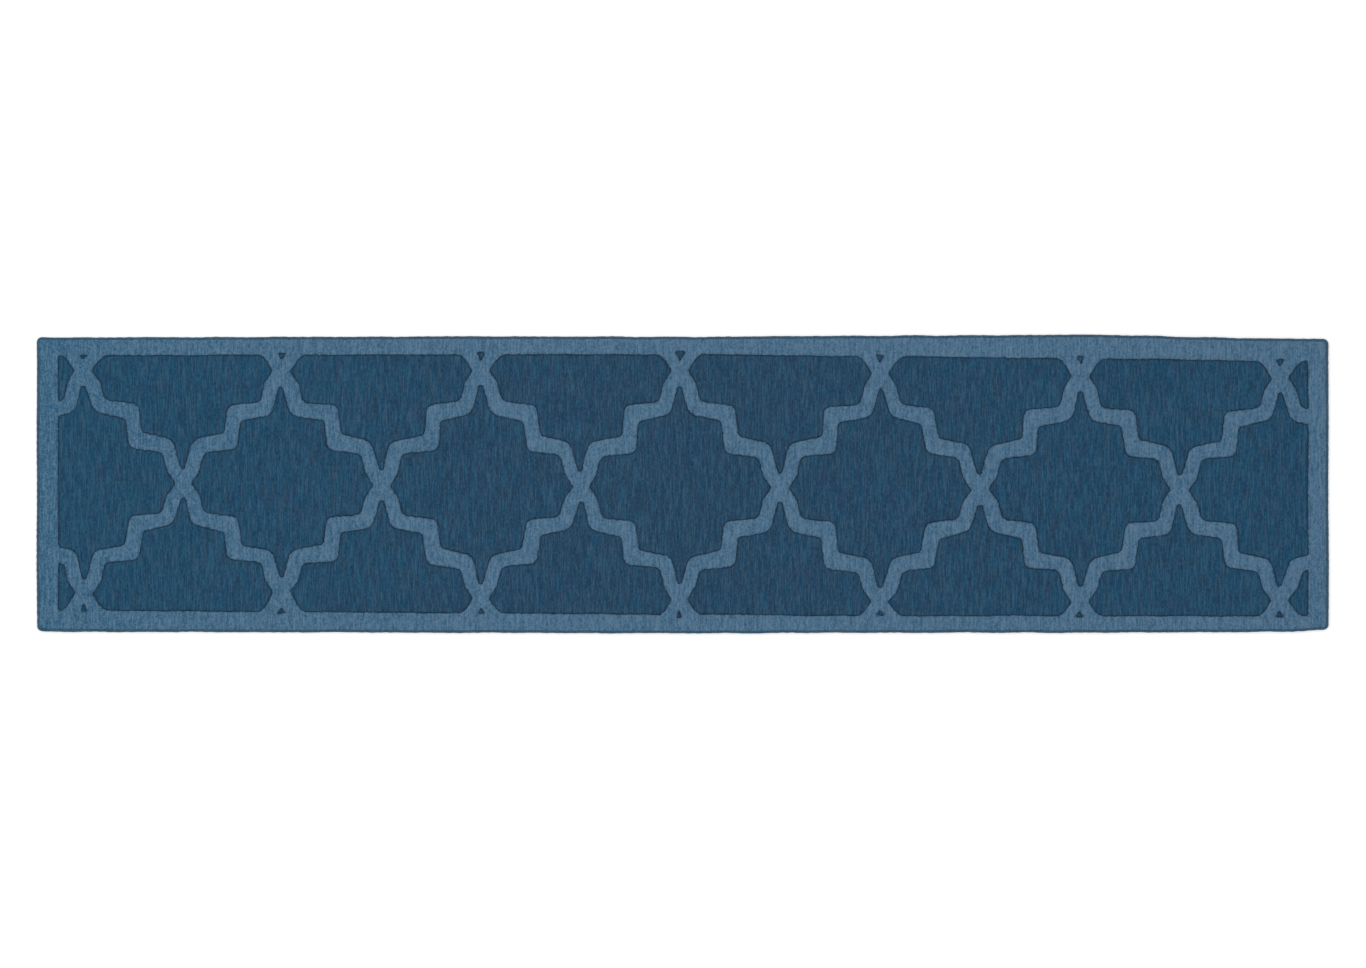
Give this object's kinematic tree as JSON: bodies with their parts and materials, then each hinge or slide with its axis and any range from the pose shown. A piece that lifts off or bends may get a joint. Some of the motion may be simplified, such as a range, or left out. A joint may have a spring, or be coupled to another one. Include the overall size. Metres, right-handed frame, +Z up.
{
  "type": "runner rug",
  "caption": "Long narrow hand-made runner rug with a raised stepped-ogee trellis and plain border in light loop pile over a dark cut-pile field, serged edges and a cloth backing.",
  "frame": {"origin": "middle of the underside, on the floor", "axes": "+X along the rug's length to its right end, +Y across the rug to its back edge, +Z up out of the pile"},
  "size_m": [3.02, 0.692, 0.0102],
  "materials": {
    "loop_pile": "heathered grey-blue wool loop pile, matt, with soft tonal drift between dye lots",
    "field_pile": "deep navy-teal cut wool pile with fine streaks across the rug's width",
    "edge_yarn": "dark blue wool yarn wrapped closely round the edge",
    "cord": "undyed cotton cord",
    "ground_cloth": "plain-weave undyed cotton",
    "latex": "cured natural latex, matt",
    "backing": "plain-weave natural cotton canvas"
  },
  "bodies": {
    "root": {"backing_cloth": "backing", "border_back": "loop_pile", "border_front": "loop_pile", "border_left": "loop_pile", "border_right": "loop_pile", "edge_binding_back": "edge_yarn", "edge_binding_front": "edge_yarn", "edge_binding_left": "edge_yarn", "edge_binding_right": "edge_yarn", "edge_cord_back": "cord", "edge_cord_front": "cord", "edge_cord_left": "cord", "edge_cord_right": "cord", "eyelets_back": "field_pile", "eyelets_front": "field_pile", "field_cell_1": "field_pile", "field_cell_2": "field_pile", "field_cell_3": "field_pile", "field_cell_4": "field_pile", "field_cell_5": "field_pile", "field_cell_6": "field_pile", "field_cell_7": "field_pile", "field_corner_back_left": "field_pile", "field_corner_back_right": "field_pile", "field_corner_front_left": "field_pile", "field_corner_front_right": "field_pile", "field_half_back_1": "field_pile", "field_half_back_2": "field_pile", "field_half_back_3": "field_pile", "field_half_back_4": "field_pile", "field_half_back_5": "field_pile", "field_half_back_6": "field_pile", "field_half_front_1": "field_pile", "field_half_front_2": "field_pile", "field_half_front_3": "field_pile", "field_half_front_4": "field_pile", "field_half_front_5": "field_pile", "field_half_front_6": "field_pile", "ground_weave": "ground_cloth", "hem_back": "ground_cloth", "hem_front": "ground_cloth", "hem_left": "ground_cloth", "hem_right": "ground_cloth", "latex_coat": "latex", "trellis_1": "loop_pile", "trellis_2": "loop_pile", "trellis_3": "loop_pile", "trellis_4": "loop_pile", "trellis_5": "loop_pile", "trellis_6": "loop_pile", "trellis_end_left": "loop_pile", "trellis_end_right": "loop_pile"}
  },
  "joints": []
}
